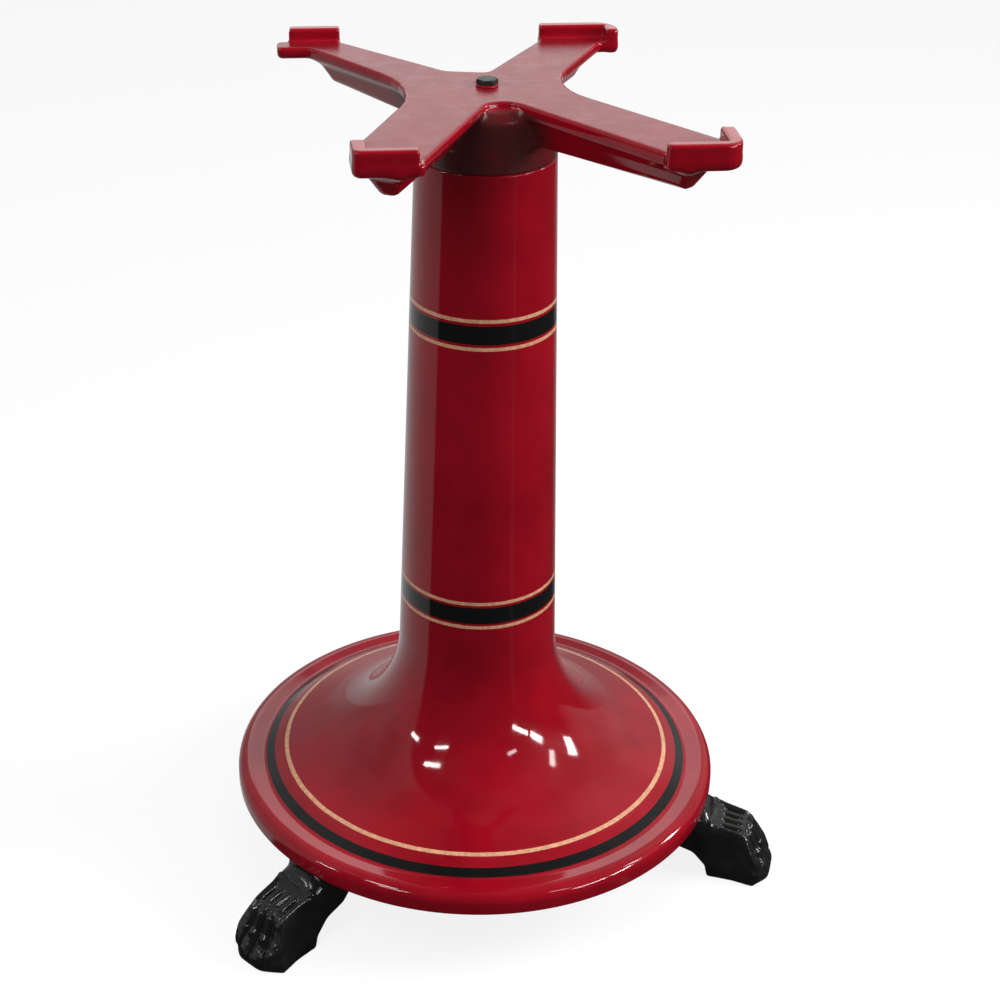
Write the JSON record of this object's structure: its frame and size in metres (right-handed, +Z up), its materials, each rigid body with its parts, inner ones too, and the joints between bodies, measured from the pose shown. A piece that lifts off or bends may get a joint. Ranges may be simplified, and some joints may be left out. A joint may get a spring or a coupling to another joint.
{
  "type": "meat slicer stand",
  "caption": "Cast pedestal with a four-armed lipped top, a tapered column on a bell base and claw feet, for a counter slicing machine.",
  "frame": {"origin": "the column's axis at the floor that the three claw feet stand on", "axes": "+Z up along the column, -Y towards the front (the two longer arms), +X to the right as seen from the front"},
  "size_m": [0.5522, 0.5557, 0.8115],
  "materials": {
    "red_enamel": "gloss",
    "black_enamel": "gloss",
    "zinc_steel": "satin"
  },
  "bodies": {
    "root": {"top_spider": "red_enamel", "column_base": "red_enamel", "claw_foot_left": "black_enamel", "claw_foot_right": "black_enamel", "claw_foot_back": "black_enamel", "tie_bolt": "black_enamel", "top_washer": "zinc_steel", "bridge_bar": "zinc_steel", "lower_washer": "zinc_steel", "tie_nut": "zinc_steel", "lock_nut": "zinc_steel", "locating_pin": "zinc_steel", "foot_bolt_left_a": "zinc_steel", "foot_bolt_left_b": "zinc_steel", "foot_bolt_right_a": "zinc_steel", "foot_bolt_right_b": "zinc_steel", "foot_bolt_back_a": "zinc_steel", "foot_bolt_back_b": "zinc_steel", "foot_washer_left_a": "zinc_steel", "foot_washer_left_b": "zinc_steel", "foot_washer_right_a": "zinc_steel", "foot_washer_right_b": "zinc_steel", "foot_washer_back_a": "zinc_steel", "foot_washer_back_b": "zinc_steel"}
  },
  "joints": []
}
